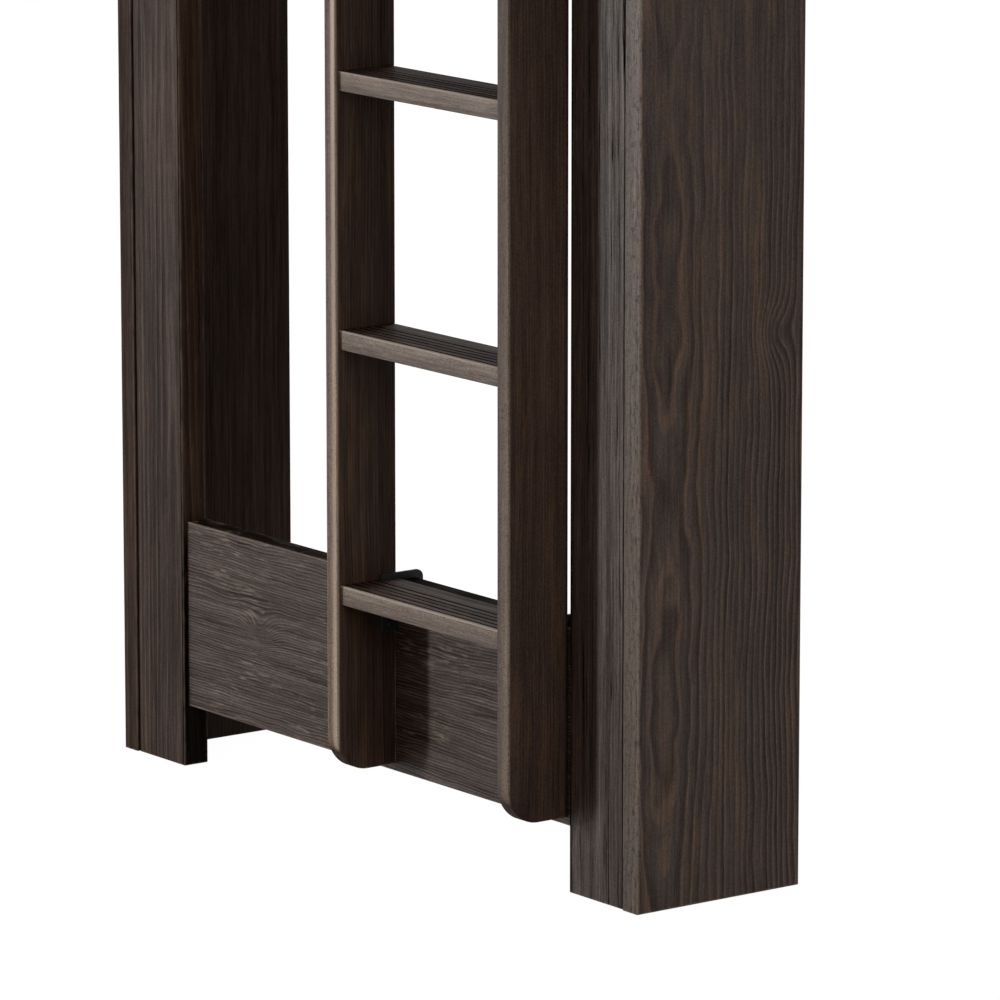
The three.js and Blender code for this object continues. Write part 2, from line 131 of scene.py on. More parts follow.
class BedSizes(bpy.types.PropertyGroup):
    """Small sizes of the joinery and fittings"""

    board_ease: length_setting(
        "Board edge", "Rounding of the edges of the boards", 0.0016
    )
    joint_chamfer: length_setting(
        "Leg joint groove", "Chamfer beside the joint between the two boards of a leg", 0.0032
    )
    cut_ease: length_setting(
        "Cut edge", "Rounding of sawn ends and bored holes", 0.0007
    )
    tread_ease: length_setting(
        "Groove edge", "Rounding of the grooves in the treads", 0.0004
    )
    plate_ease: length_setting(
        "Plate edge", "Rounding of the edges of the steel hooks", 0.0005
    )
    screw_head: length_setting(
        "Slat screw head", "Radius of the heads of the slat screws", 0.0042
    )
    screw_rise: length_setting(
        "Screw head rise", "Height of a screw head above the slat", 0.0009
    )
    screw_inset: length_setting(
        "Slat screw inset", "From a slat's end to its screws", 0.018
    )
    hook_screw_head: length_setting(
        "Hook screw head", "Radius of the heads of the hook screws", 0.0041
    )
    tongue_middle: length_setting(
        "Hook screw setback", "From a hook's front edge to its screws", 0.012
    )


class BedColours(bpy.types.PropertyGroup):
    """Colours of the stain and of the fittings"""

    deep: colour_setting("Deep stain", "Stain in the soft wood", (0.028, 0.0140, 0.0092))
    body: colour_setting("Body stain", "Stain over most of a board", (0.047, 0.0250, 0.0168))
    warm: colour_setting("Warm grain", "Hard lines of the grain", (0.115, 0.060, 0.031))
    # The pale colour is rubbed stain, and it also serves painted highlights and glints.
    pale: colour_setting("Rubbed edges", "Stain rubbed thin", (0.240, 0.175, 0.130))
    steel: colour_setting("Hook coat", "Powder coat of the hooks", (0.012, 0.012, 0.013))
    bronze: colour_setting("Bolt plating", "Plating of bolts", (0.060, 0.045, 0.034))
    nylon: colour_setting("Glide nylon", "Moulded glides", (0.022, 0.020, 0.019))


class StudioSettings(bpy.types.PropertyGroup):
    """Floor and light round the bed"""

    floor: colour_setting("Floor", "Pale studio floor", (0.45, 0.45, 0.45))
    sky: FloatProperty(
        name="Soft light", description="Strength of the light all round", default=0.11
    )
    key: FloatProperty(
        name="Key light", description="Power of the large front light", default=270.0, unit="POWER"
    )
    side: FloatProperty(
        name="Side light", description="Power of the light from the right", default=150.0, unit="POWER"
    )
    back: FloatProperty(
        name="Back light", description="Power of the light behind the bed", default=320.0, unit="POWER"
    )
    top: FloatProperty(
        name="Top light", description="Power of the light above", default=16.0, unit="POWER"
    )


class BunkBed(bpy.types.PropertyGroup):
    """Everything that can be set on the bed"""

    sizes: PointerProperty(type=BedSizes)
    colours: PointerProperty(type=BedColours)
    studio: PointerProperty(type=StudioSettings)


def settings():
    return bpy.context.scene.bunk_bed


# ------------------------------------------------------------------ node work


class NodeBench:
    """Adds nodes to one node tree and joins them up."""

    def __init__(self, tree):
        self.tree = tree

    def node(self, kind, **options):
        made = self.tree.nodes.new(kind)
        for name, value in options.items():
            setattr(made, name, value)
        return made

    def feed(self, socket, value):
        if isinstance(value, bpy.types.NodeSocket):
            self.tree.links.new(value, socket)
        else:
            socket.default_value = value

    def math(self, operation, *values, clamp=False):
        made = self.node("ShaderNodeMath", operation=operation, use_clamp=clamp)
        for socket, value in zip(made.inputs, values):
            self.feed(socket, value)
        return made.outputs[0]

    def product(self, first, *others):
        for other in others:
            first = self.math("MULTIPLY", first, other)
        return first

    def total(self, first, *others):
        for other in others:
            first = self.math("ADD", first, other)
        return first

    def less(self, value, share):
        """A factor of one less a share of the value."""
        return self.math("MULTIPLY_ADD", value, -share, 1.0)

    def vector(self, operation, *values):
        made = self.node("ShaderNodeVectorMath", operation=operation)
        for socket, value in zip(made.inputs, values):
            self.feed(socket, value)
        return made.outputs["Vector"]

    def scaled(self, vector, share):
        made = self.node("ShaderNodeVectorMath", operation="SCALE")
        self.feed(made.inputs[0], vector)
        self.feed(made.inputs["Scale"], share)
        return made.outputs["Vector"]

    def parts(self, vector):
        made = self.node("ShaderNodeSeparateXYZ")
        self.feed(made.inputs[0], vector)
        return made.outputs

    def joined(self, x, y, z):
        made = self.node("ShaderNodeCombineXYZ")
        for socket, value in zip(made.inputs, (x, y, z)):
            self.feed(socket, value)
        return made.outputs[0]

    def between(self, value, start, end, low=0.0, high=1.0):
        """Rises smoothly from low to high as value goes from start to end."""
        made = self.node("ShaderNodeMapRange", interpolation_type="SMOOTHSTEP")
        for socket, given in zip(made.inputs, (value, start, end, low, high)):
            self.feed(socket, given)
        return made.outputs[0]

    def noise(self, place, scale=1.0, detail=3.0, roughness=0.55):
        made = self.node("ShaderNodeTexNoise")
        self.feed(made.inputs["Vector"], place)
        made.inputs["Scale"].default_value = scale
        made.inputs["Detail"].default_value = detail
        made.inputs["Roughness"].default_value = roughness
        return made.outputs[0]

    def swing(self, place, reach, **options):
        """Noise about zero that swings as far as reach."""
        centred = self.math("SUBTRACT", self.noise(place, **options), 0.5)
        return self.product(centred, self.product(reach, 2.0))

    def blend(self, share, first, second):
        made = self.node("ShaderNodeMix", data_type="RGBA", blend_type="MIX")
        for slot, value in ((0, share), (6, first), (7, second)):
            self.feed(made.inputs[slot], value)
        return made.outputs[2]

    def bump(self, shader, height, distance):
        made = self.node("ShaderNodeBump")
        made.inputs["Strength"].default_value = 1.0
        made.inputs["Distance"].default_value = distance
        self.feed(made.inputs["Height"], height)
        self.feed(shader.inputs["Normal"], made.outputs[0])


def new_group(name, inputs, outputs):
    """A shader node group with the given sockets, its bench, and its input sockets by name."""
    tree = bpy.data.node_groups.new(name, "ShaderNodeTree")
    for label, kind, default in inputs:
        socket = tree.interface.new_socket(label, in_out="INPUT", socket_type=f"NodeSocket{kind}")
        if default is not None:
            socket.default_value = default
    for label, kind in outputs:
        tree.interface.new_socket(label, in_out="OUTPUT", socket_type=f"NodeSocket{kind}")
    bench = NodeBench(tree)
    way_in = bench.node("NodeGroupInput")
    way_out = bench.node("NodeGroupOutput")
    return bench, way_in.outputs, way_out.inputs


def grain_group():
    """Makes the group of growth rings, knots, fibres, painted glints and rubbed edges with painted
    highlights of one pine board.
    """
    bench, given, result = new_group(
        "Pine grain",
        [
            ("Place", "Vector", None),
            ("Half Size", "Vector", None),
            ("Seed", "Float", 0.0),
            ("Ring Spacing", "Float", 0.005),
            ("Pith Across", "Float", 0.05),
            ("Pith Depth", "Float", 0.06),
            ("Rise", "Float", 0.03),
            ("Wander", "Float", 0.010),
            ("Ripple", "Float", 0.0015),
            ("Heart", "Float", 0.0),
            ("Knot Across", "Float", 5.0),
            ("Knot Along", "Float", 5.0),
            ("Knot Size", "Float", 0.012),
        ],
        [
            ("Lines", "Float"),
            ("Bands", "Float"),
            ("Fibre", "Float"),
            ("Streaks", "Float"),
            ("Cracks", "Float"),
            ("Blush", "Float"),
            ("Grit", "Float"),
            ("Specks", "Float"),
            ("Patches", "Float"),
            ("Scratches", "Float"),
            ("Knot", "Float"),
            ("Edges", "Float"),
            ("Height", "Float"),
        ],
    )
    place = given["Place"]
    across, through, along = bench.parts(place)
    number = bench.joined(given["Seed"], given["Seed"], given["Seed"])
    seeded = bench.vector("ADD", place, bench.vector("MULTIPLY", number, (7.31, 3.17, 5.73)))

    def stretched(side, length):
        return bench.vector("MULTIPLY", seeded, (side, side, length))

    # The pith wanders along the board, and the rings ripple round it.
    bend = bench.swing(stretched(6.0, 1.3), given["Wander"], detail=2.0)
    ripple = bench.swing(stretched(26.0, 8.0), given["Ripple"], detail=2.0)
    lean = bench.swing(stretched(3.0, 1.7), given["Wander"], detail=1.0)
    sway = bench.swing(stretched(9.0, 6.0), bench.product(given["Ripple"], 2.4), detail=2.0)

    # A knot pushes the rings round itself.
    knot_x = bench.math("DIVIDE", bench.math("SUBTRACT", across, given["Knot Across"]), given["Knot Size"])
    knot_z = bench.math("DIVIDE", bench.math("SUBTRACT", along, given["Knot Along"]), given["Knot Size"])
    knot_z = bench.product(knot_z, 0.72)
    knot_square = bench.total(bench.product(knot_x, knot_x), bench.product(knot_z, knot_z))
    knot_near = bench.math("EXPONENT", bench.product(knot_square, -0.22))
    knot_push = bench.product(knot_near, bench.product(given["Knot Size"], 1.9))
    knot_core = bench.between(knot_square, 1.5, 0.5)
    bench.feed(result["Knot"], knot_core)

    # Growth rings: the distance from the pith, counted in years.
    side = bench.total(bench.math("SUBTRACT", across, given["Pith Across"]), bench.total(bend, ripple))
    deep = bench.total(through, given["Pith Depth"], bench.product(along, given["Rise"]), lean, sway)
    square = bench.total(bench.product(side, side), bench.product(deep, deep))
    radius = bench.total(bench.math("SQRT", square), knot_push)
    years = bench.math("DIVIDE", radius, given["Ring Spacing"])
    season = bench.math("FRACT", years)
    year = bench.node("ShaderNodeTexWhiteNoise", noise_dimensions="1D")
    bench.feed(year.inputs["W"], bench.total(bench.math("FLOOR", years), given["Seed"]))
    year = year.outputs[0]
    outside = bench.between(bench.math("SUBTRACT", radius, given["Heart"]), -0.003, 0.001)

    late = bench.product(bench.between(season, 0.62, 0.82), bench.between(season, 1.0, 0.88))
    late = bench.product(late, bench.math("MULTIPLY_ADD", year, 0.7, 0.3), outside)
    bench.feed(result["Lines"], late)
    early = bench.product(bench.between(season, 0.10, 0.50), bench.between(season, 0.78, 0.62), outside)
    bench.feed(result["Bands"], bench.product(early, bench.math("MULTIPLY_ADD", year, 0.6, 0.4)))

    # Marks that follow the fibres.
    seeded = bench.vector("ADD", seeded, bench.joined(bench.total(bend, ripple), 0.0, 0.0))
    fibre = bench.noise(stretched(380.0, 13.0), detail=4.0, roughness=0.62)
    fine = bench.noise(stretched(1500.0, 42.0), detail=2.0)
    bench.feed(result["Fibre"], bench.math("MULTIPLY_ADD", fine, 0.4, bench.product(fibre, 0.6)))
    bench.feed(result["Streaks"], bench.noise(stretched(130.0, 1.9), detail=4.0, roughness=0.6))

    crack = bench.between(bench.noise(stretched(210.0, 5.5), detail=4.0, roughness=0.6), 0.42, 0.35)
    split = bench.between(bench.noise(stretched(26.0, 4.5), detail=2.0), 0.44, 0.56)
    bench.feed(result["Cracks"], bench.product(crack, split))

    blotch = bench.between(bench.noise(stretched(62.0, 8.0), detail=3.0), 0.47, 0.70)
    heart = bench.math("MULTIPLY_ADD", outside, -0.8, 0.8)
    bench.feed(result["Blush"], bench.math("MAXIMUM", blotch, heart))
    bench.feed(result["Patches"], bench.noise(stretched(11.0, 2.6), detail=3.0, roughness=0.6))
    bench.feed(result["Grit"], bench.noise(seeded, scale=640.0, detail=3.0, roughness=0.6))
    bench.feed(result["Specks"], bench.between(bench.noise(stretched(230.0, 95.0), detail=3.0), 0.47, 0.37))

    # Painted glints: short pale dashes along the rings where the brushed grain catches the light, in
    # patches.
    strokes = bench.joined(bench.product(years, 1.35), given["Seed"], bench.product(along, 34.0))
    stroke = bench.between(bench.noise(strokes, detail=2.0, roughness=0.6), 0.54, 0.72)
    worked = bench.between(bench.noise(stretched(15.0, 8.0), detail=2.0), 0.42, 0.66)
    bench.feed(result["Scratches"], bench.product(stroke, worked))

    # Rubbed edges, partly wear and partly painted highlights on the arrises: the second smallest distance
    # to a side of the board.
    room = bench.vector("SUBTRACT", given["Half Size"], bench.vector("ABSOLUTE", place))
    a, b, c = bench.parts(room)
    larger = bench.math("MINIMUM", bench.math("MAXIMUM", a, b), c)
    nearer = bench.math("MAXIMUM", bench.math("MINIMUM", a, b), larger)
    ragged = bench.swing(stretched(120.0, 30.0), 0.0022, detail=3.0)
    bench.feed(result["Edges"], bench.between(bench.total(nearer, ragged), 0.0024, 0.0004))

    relief = bench.math("MULTIPLY_ADD", late, 0.55, bench.product(fibre, 0.75))
    relief = bench.math("MULTIPLY_ADD", fine, 0.2, relief)
    bench.feed(result["Height"], bench.math("MULTIPLY_ADD", knot_core, 0.3, relief))


class PineBoard:
    """The material of one kind of board: its bench, its shader and what its grain group finds."""

    def __init__(self, name, grain):
        self.material = bpy.data.materials.new(name)
        self.material.use_nodes = True
        self.shader = self.material.node_tree.nodes["Principled BSDF"]
        self.bench = bench = NodeBench(self.material.node_tree)
        group = bench.node("ShaderNodeGroup", node_tree=bpy.data.node_groups["Pine grain"])
        given = []
        for label, attribute, output in BOARD_ATTRIBUTES:
            read = bench.node("ShaderNodeAttribute", attribute_name=attribute)
            bench.feed(group.inputs[label], read.outputs[output])
            given.append(read.outputs[output])
        for label, value in grain.items():
            group.inputs[label.replace("_", " ").title()].default_value = value
        self.found = group.outputs
        self.across, self.through, self.along = bench.parts(given[0])
        self.half_across, self.half_through, _ = bench.parts(given[1])

    def edge_room(self):
        """Distance to the nearer long edge."""
        return self.bench.math("SUBTRACT", self.half_across, self.bench.math("ABSOLUTE", self.across))

    def far_room(self):
        """Distance to the long edge that the across axis points to."""
        return self.bench.math("SUBTRACT", self.half_across, self.across)

    def face_room(self):
        """Distance to the nearer face."""
        return self.bench.math("SUBTRACT", self.half_through, self.bench.math("ABSOLUTE", self.through))

    def sunk(self):
        """Depth under the upper face."""
        return self.bench.math("SUBTRACT", self.half_through, self.through)

    def facing(self):
        """Where a stile or a tread shows its front edge."""
        return self.bench.between(self.bench.total(self.across, self.half_across), 0.005, 0.0005)

    def seam(self, depth):
        """A factor that darkens the two long edges: partly stain in the joint, partly painted shade of the
        gap between the boards.
        """
        return self.bench.between(self.edge_room(), 0.0046, 0.0030, 1.0, 1.0 - depth)

    def grooves(self, depth):
        """A factor that darkens the grooves of a tread: painted shade in the recesses."""
        bench, sunk = self.bench, self.sunk()
        inside = bench.product(bench.between(sunk, 0.0, 0.0004), bench.between(sunk, 0.0070, 0.0060))
        inside = bench.product(inside, bench.between(self.edge_room(), 0.0022, 0.0032))
        return bench.less(inside, depth)

    def painted_return_light(self, share):
        """A factor that brightens the inner edge of a leg's front board above the low end board: painted
        light on a face that lies in shade.
        """
        bench = self.bench
        brightening = bench.between(self.far_room(), 0.0016, 0.0004, 0.0, share - 1.0)
        brightening = bench.product(brightening, bench.between(self.along, -0.60, -0.54))
        return bench.total(brightening, 1.0)

    def top_shade(self, share):
        """A factor that darkens the upper edge of a board laid on its side: painted shade, where the top of
        the board lies in shade.
        """
        bench = self.bench
        above = bench.between(self.far_room(), 0.0016, 0.0004)
        above = bench.product(above, bench.between(self.face_room(), 0.0008, 0.0020))
        return bench.less(above, 1.0 - share)

    def highlight_stripe(self, low, high):
        """A line along the outer corner of the front edge, from its foot to its top: rubbed bare wood and a
        painted highlight.
        """
        bench = self.bench
        line = bench.between(self.through, 0.0, 0.005)
        line = bench.product(line, bench.between(self.through, 0.010, 0.0085))
        return bench.product(line, self.facing(), bench.between(self.along, -0.3, 0.3, low, high))

    def nose_highlight(self):
        """The upper corner of a tread's front edge, where a highlight is painted."""
        bench = self.bench
        corner = bench.between(self.sunk(), 0.0024, 0.0010)
        corner = bench.product(corner, bench.between(self.edge_room(), 0.0044, 0.0026))
        return bench.product(corner, self.facing())


def shade(colour, share):
    return tuple(min(1.0, value * share) for value in colour) + (1.0,)


def pine(
    name,
    deep=1.0,
    body=1.0,
    warm=1.0,
    pale=1.0,
    limed=0.0,
    lines=0.8,
    fade=1.0,
    blush=0.5,
    fibres=1.0,
    streaks=0.5,
    cracks=0.3,
    grain_glints=0.2,
    wear_and_highlight=0.5,
    seam=0.0,
    grooves=0.0,
    painted_return_light=1.0,
    top_shade=1.0,
    front=(0.0, 0.0),
    spots=0.0,
    bare_and_highlight=0.0,
    haze=0.5,
    gloss=0.46,
    relief=0.0006,
    **grain,
):
    """Stained pine under a thin grey lacquer.

    The four stain colours are the set ones times deep, body, warm and pale. The rest are strengths from
    0 to 1, except fade, painted_return_light and top_shade, which are factors, front, which is a strength
    at the foot and at the top of the paler front edge, partly painted light, and relief, which is a height.
    What is left goes to the grain group.
    """
    colours = settings().colours
    board = PineBoard(name, grain)
    bench, shader, found = board.bench, board.shader, board.found

    clear = bench.between(board.along, 0.35, -0.35, lines * fade, lines)
    patches = bench.between(found["Patches"], 0.36, 0.66)
    stain = bench.blend(patches, shade(colours.deep, deep), shade(colours.body, body))
    stain = bench.blend(bench.product(found["Blush"], blush), stain, shade(colours.warm, warm * 0.62))
    line = bench.blend(limed, shade(colours.warm, warm), shade(colours.pale, pale * 0.6))
    stain = bench.blend(bench.product(found["Lines"], clear), stain, line)
    # Painted light on the inner edge of a leg's front board.
    if painted_return_light != 1.0:
        stain = bench.scaled(stain, board.painted_return_light(painted_return_light))

    fibre = bench.between(found["Fibre"], 0.34, 0.68, 1.0 - 0.42 * fibres, 1.0 + 0.42 * fibres)
    streak = bench.between(found["Streaks"], 0.3, 0.7, 1.0 - 0.5 * streaks, 1.0 + 0.6 * streaks)
    grit = bench.between(found["Grit"], 0.3, 0.7, 0.78, 1.22)
    dark = bench.less(bench.product(found["Bands"], clear), 0.55)
    dark = bench.product(dark, bench.less(found["Cracks"], cracks))
    # Darker long edges: stain in the joints and painted shade of the gaps between boards.
    if seam:
        dark = bench.product(dark, board.seam(seam))
    # Painted shade in the grooves of a tread.
    if grooves:
        dark = bench.product(dark, board.grooves(grooves))
    # Painted shade on the upper edge of a board laid on its side.
    if top_shade != 1.0:
        dark = bench.product(dark, board.top_shade(top_shade))
    texture = bench.product(bench.product(fibre, streak), bench.product(grit, dark))
    stain = bench.scaled(stain, texture)

    # Painted glints along the brushed grain, in the pale stain colour.
    glinted = bench.product(found["Scratches"], grain_glints)
    stain = bench.blend(glinted, stain, shade(colours.pale, pale * 0.8))
    stain = bench.blend(bench.product(found["Knot"], 0.8), stain, shade(colours.deep, deep * 0.9))
    # Paler edges: partly rubbed stain, partly painted highlights on the arrises.
    stain = bench.blend(bench.product(found["Edges"], wear_and_highlight), stain, shade(colours.pale, pale))
    # Paler front edges, from the foot to the top: rubbed stain with pale specks, and painted light on the
    # lit front, with a painted highlight growing across the edge towards one corner.
    if any(front):
        inner = bench.between(board.through, -0.007, 0.007, 0.50, 1.0)
        share = bench.product(bench.between(board.along, -0.6, 0.6, *front), board.facing(), inner)
        specks = bench.between(found["Grit"], 0.38, 0.52, 0.55, 1.12)
        specks = bench.product(specks, bench.less(found["Specks"], spots))
        rubbed = bench.scaled(shade(colours.pale, pale)[:3], bench.product(fibre, specks))
        stain = bench.blend(share, stain, rubbed)
    # Rubbed bare wood and a painted highlight along a stile's front corner.
    if bare_and_highlight:
        stain = bench.blend(board.highlight_stripe(0.35, bare_and_highlight), stain, RUBBED_AND_HIGHLIGHT_STRIPE)
    # A painted highlight along the nose of a tread.
    if grooves:
        stain = bench.blend(bench.product(board.nose_highlight(), 0.75), stain, NOSE_HIGHLIGHT)
    bench.feed(shader.inputs["Base Color"], stain)

    shader.inputs["Specular IOR Level"].default_value = 0.0
    shader.inputs["Coat IOR"].default_value = LACQUER_IOR
    shader.inputs["Coat Roughness"].default_value = gloss
    bench.feed(shader.inputs["Coat Weight"], bench.math("MULTIPLY", texture, haze, clamp=True))
    sheen = bench.math("MULTIPLY_ADD", found["Fibre"], 0.22, gloss - 0.11)
    bench.feed(shader.inputs["Roughness"], bench.math("MULTIPLY_ADD", found["Lines"], -0.08, sheen))
    bench.bump(shader, found["Height"], relief)


def coated(name, colour, rough, metallic, peel_scale, peel_depth, chips=0.0, chip_colour=(0.1, 0.1, 0.1)):
    """Metal or moulded plastic with an orange-peel coat, soft smudges and small chips."""
    material = bpy.data.materials.new(name)
    material.use_nodes = True
    bench = NodeBench(material.node_tree)
    shader = material.node_tree.nodes["Principled BSDF"]
    place = bench.node("ShaderNodeTexCoord").outputs["Object"]
    smudge = bench.noise(place, scale=60.0, detail=4.0)
    chip = bench.between(bench.noise(place, scale=700.0, detail=3.0), 0.66, 0.72)
    tone = bench.blend(smudge, shade(colour, 0.72), shade(colour, 1.35))
    tone = bench.blend(bench.product(chip, chips), tone, shade(chip_colour, 1.0))
    bench.feed(shader.inputs["Base Color"], tone)
    shader.inputs["Metallic"].default_value = metallic
    bench.feed(shader.inputs["Roughness"], bench.math("MULTIPLY_ADD", smudge, 0.24, rough - 0.12))
    bench.bump(shader, bench.noise(place, scale=peel_scale, detail=3.0), peel_depth)


# ------------------------------------------------------------------ shaping


def finished(name, mesh, material, body, nodes=()):
    """Turns a bmesh into a finished piece that rides on a body."""
    bmesh.ops.recalc_face_normals(mesh, faces=mesh.faces)
    data = bpy.data.meshes.new(name)
    mesh.to_mesh(data)
    mesh.free()
    piece = bpy.data.objects.new(name, data)
    bpy.context.scene.collection.objects.link(piece)
    data.materials.append(material)
    data.shade_smooth()
    normals = piece.modifiers.new("Flat faces", "WEIGHTED_NORMAL")
    normals.keep_sharp = True
    normals.weight = 100
    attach(piece, body)
    if nodes:
        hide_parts(*nodes)
    return piece


def board_axes(low, high):
    """Axes of a board: across its face, through its thickness and along its grain."""
    size = high - low
    through, across, along = sorted(range(3), key=lambda axis: size[axis])
    return across, through, along


def mark_grain(mesh, low, high, seed):
    """Gives every point its place in the board, the board's half size and its seed."""
    axes = board_axes(low, high)
    middle = (low + high) / 2
    half = (high - low) / 2
    grain = mesh.verts.layers.float_vector.new("grain")
    size = mesh.verts.layers.float_vector.new("half")
    number = mesh.verts.layers.float.new("seed")
    for point in mesh.verts:
        offset = point.co - middle
        point[grain] = Vector([offset[axis] for axis in axes])
        point[size] = Vector([half[axis] for axis in axes])
        point[number] = seed


def nodes_named(test):
    """The frame's nodes whose names pass a test, in order."""
    names = sorted(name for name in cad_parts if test(name))
    if not names:
        raise RuntimeError("the frame has none of these nodes")
    return names


def seed_of(node):
    """A fixed number from 0 to 10 for each node's name."""
    return random.Random(node).uniform(0.0, 10.0)


def soften(mesh, edges, width, segments):
    bmesh.ops.bevel(
        mesh,
        geom=edges,
        offset=width,
        offset_type="OFFSET",
        segments=segments,
        profile=0.5,
        affect="EDGES",
        material=-1,
    )


def planed_board(node, material, body, chamfer=0.0):
    """A plain board in the place of its node, with softened edges.

    A chamfer is planed along the outer front edge of an upright board.
    """
    low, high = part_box(node)
    mesh = bmesh.new()
    bmesh.ops.create_cube(mesh, size=1.0)
    bmesh.ops.scale(mesh, vec=high - low, verts=mesh.verts)
    bmesh.ops.translate(mesh, vec=(low + high) / 2, verts=mesh.verts)
    if chamfer:
        soften(mesh, [edge for edge in mesh.edges if is_outer_front(edge)], chamfer, 1)
    corners = [edge for edge in mesh.edges if edge.calc_face_angle() > SHARP]
    soften(mesh, corners, settings().sizes.board_ease, 3)
    mark_grain(mesh, low, high, seed_of(node))
    return finished(f"{node}_wood", mesh, material, body, [node])


def is_outer_front(edge):
    """True for an upright edge at the board's outer side that faces out of the bed's end."""
    middle = (edge.verts[0].co + edge.verts[1].co) / 2
    upright = abs(edge.verts[0].co.z - edge.verts[1].co.z) > UPRIGHT_LENGTH
    normal = sum((face.normal for face in edge.link_faces), Vector())
    return upright and normal.x * middle.x > 0 and normal.y * middle.y > 0


def worked_piece(node, material, body, ease, suffix="wood"):
    """A copy of a cut or bored node with its sharp edges softened."""
    low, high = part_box(node)
    mesh = bmesh.new()
    mesh.from_mesh(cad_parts[node].data)
    bmesh.ops.remove_doubles(mesh, verts=mesh.verts, dist=WELD)
    bmesh.ops.dissolve_limit(mesh, angle_limit=SAME_PLANE, verts=mesh.verts, edges=mesh.edges)
    corners = [edge for edge in mesh.edges if edge.is_manifold and edge.calc_face_angle() > SHARP]
    soften(mesh, corners, ease, 2)
    mark_grain(mesh, low, high, seed_of(node))
    return finished(f"{node}_{suffix}", mesh, material, body, [node])


def screw_head(mesh, centre, axis, radius, rise):
    """Adds a tapered screw head with a dished middle, facing along an axis."""
    turn = Vector((0, 0, 1)).rotation_difference(Vector(axis)).to_matrix().to_4x4()
    place = Matrix.Translation(centre) @ turn
    head = bmesh.ops.create_cone(
        mesh,
        cap_ends=True,
        segments=16,
        radius1=radius,
        radius2=radius * 0.62,
        depth=rise,
        matrix=place @ Matrix.Translation((0, 0, rise / 2)),
    )
    top = max(
        {face for vert in head["verts"] for face in vert.link_faces},
        key=lambda face: (place.inverted() @ face.calc_center_median()).z,
    )
    bmesh.ops.inset_region(mesh, faces=[top], thickness=radius * 0.3)
    bmesh.ops.translate(mesh, verts=top.verts, vec=turn.to_3x3() @ Vector((0, 0, -rise * 0.6)))


# ------------------------------------------------------------------ operators


class BUNK_OT_materials(bpy.types.Operator):
    """Mix the stains and the finishes of the fittings"""

    bl_idname = "bunk.materials"
    bl_label = "Mix finishes"

    def execute(self, context):
        grain_group()
        colours = settings().colours
        pine(
            "stained_leg_side",
            deep=1.3, body=1.3, lines=0.3, fibres=0.7, grain_glints=0.05, haze=0.15,
            ring_spacing=0.0042, pith_across=0.16, pith_depth=0.10, rise=0.0,
        )
        pine(
            "stained_leg_face",
            lines=0.3, fibres=0.9, streaks=0.75, cracks=0.95, grain_glints=0.3, seam=0.85,
            ring_spacing=0.0046, pith_across=0.14, pith_depth=0.09, rise=0.0,
        )
        # The left legs' front boards, with painted light on the inner edge above the low end board.
        pine(
            "stained_left_face",
            deep=1.45, body=1.45, limed=0.6, lines=0.5, fibres=0.7, grain_glints=0.15, seam=0.85,
            painted_return_light=9.0, haze=0.27,
            ring_spacing=0.0085, pith_across=0.03, pith_depth=0.05, rise=0.02, wander=0.006,
        )
        pine(
            "stained_right_leg",
            fade=0.25, blush=0.85, fibres=0.5, streaks=0.25, cracks=0.1, grain_glints=0.03,
            front=(0.45, 0.60), spots=0.8,
            ring_spacing=0.0075, pith_across=-0.080, pith_depth=0.050, rise=0.0, wander=0.014,
            ripple=0.0048, heart=0.064, knot_across=0.0768, knot_along=-0.2168, knot_size=0.011,
        )
        pine("stained_rail", lines=0.5, grain_glints=0.35, ring_spacing=0.0045, pith_across=-0.12)
        pine(
            "stained_low_board",
            deep=1.5, body=1.5, pale=1.4, limed=0.8, lines=1.0, fibres=0.7, streaks=0.45, cracks=0.5,
            grain_glints=1.0, wear_and_highlight=0.6, top_shade=0.25, relief=0.0012,
            ring_spacing=0.0038, pith_across=-0.22, pith_depth=0.03, rise=0.0, wander=0.014,
            ripple=0.0062, knot_across=0.005, knot_along=-0.235, knot_size=0.010,
        )
        # The left stile: its front edge painted paler for the light that falls on it, with a painted
        # highlight stripe on its corner.
        pine(
            "stained_left_stile",
            pale=1.7, lines=0.35, blush=0.8, fibres=0.6, grain_glints=0.05, wear_and_highlight=0.35,
            front=(1.0, 0.45), bare_and_highlight=0.95, haze=0.20, ring_spacing=0.0040, pith_across=0.15, rise=0.0,
        )
        pine(
            "stained_right_stile",
            lines=0.25, fibres=0.5, streaks=0.3, grain_glints=0.05, wear_and_highlight=0.1, front=(0.95, 0.0),
            haze=0.30, ring_spacing=0.0040, pith_across=0.15, rise=0.0,
        )
        # Treads, with painted shade in their grooves and a painted highlight on their noses.
        pine(
            "stained_tread",
            deep=1.4, body=1.4, pale=1.1, lines=0.4, fibres=0.7, cracks=0.2, grain_glints=0.4, grooves=0.96,
            front=(0.95, 0.95), ring_spacing=0.0038, pith_across=0.14, rise=0.0,
        )
        pine("stained_slat", lines=0.6, grain_glints=0.3, ring_spacing=0.0045, gloss=0.6)
        coated("hook_coat", colours.steel, 0.46, 0.0, 900.0, 0.00012, 0.5, (0.16, 0.16, 0.17))
        coated("bolt_plating", colours.bronze, 0.36, 0.9, 1400.0, 0.00003, 0.6, (0.25, 0.2, 0.15))
        coated("moulded_nylon", colours.nylon, 0.5, 0.0, 1100.0, 0.00006)
        return {"FINISHED"}


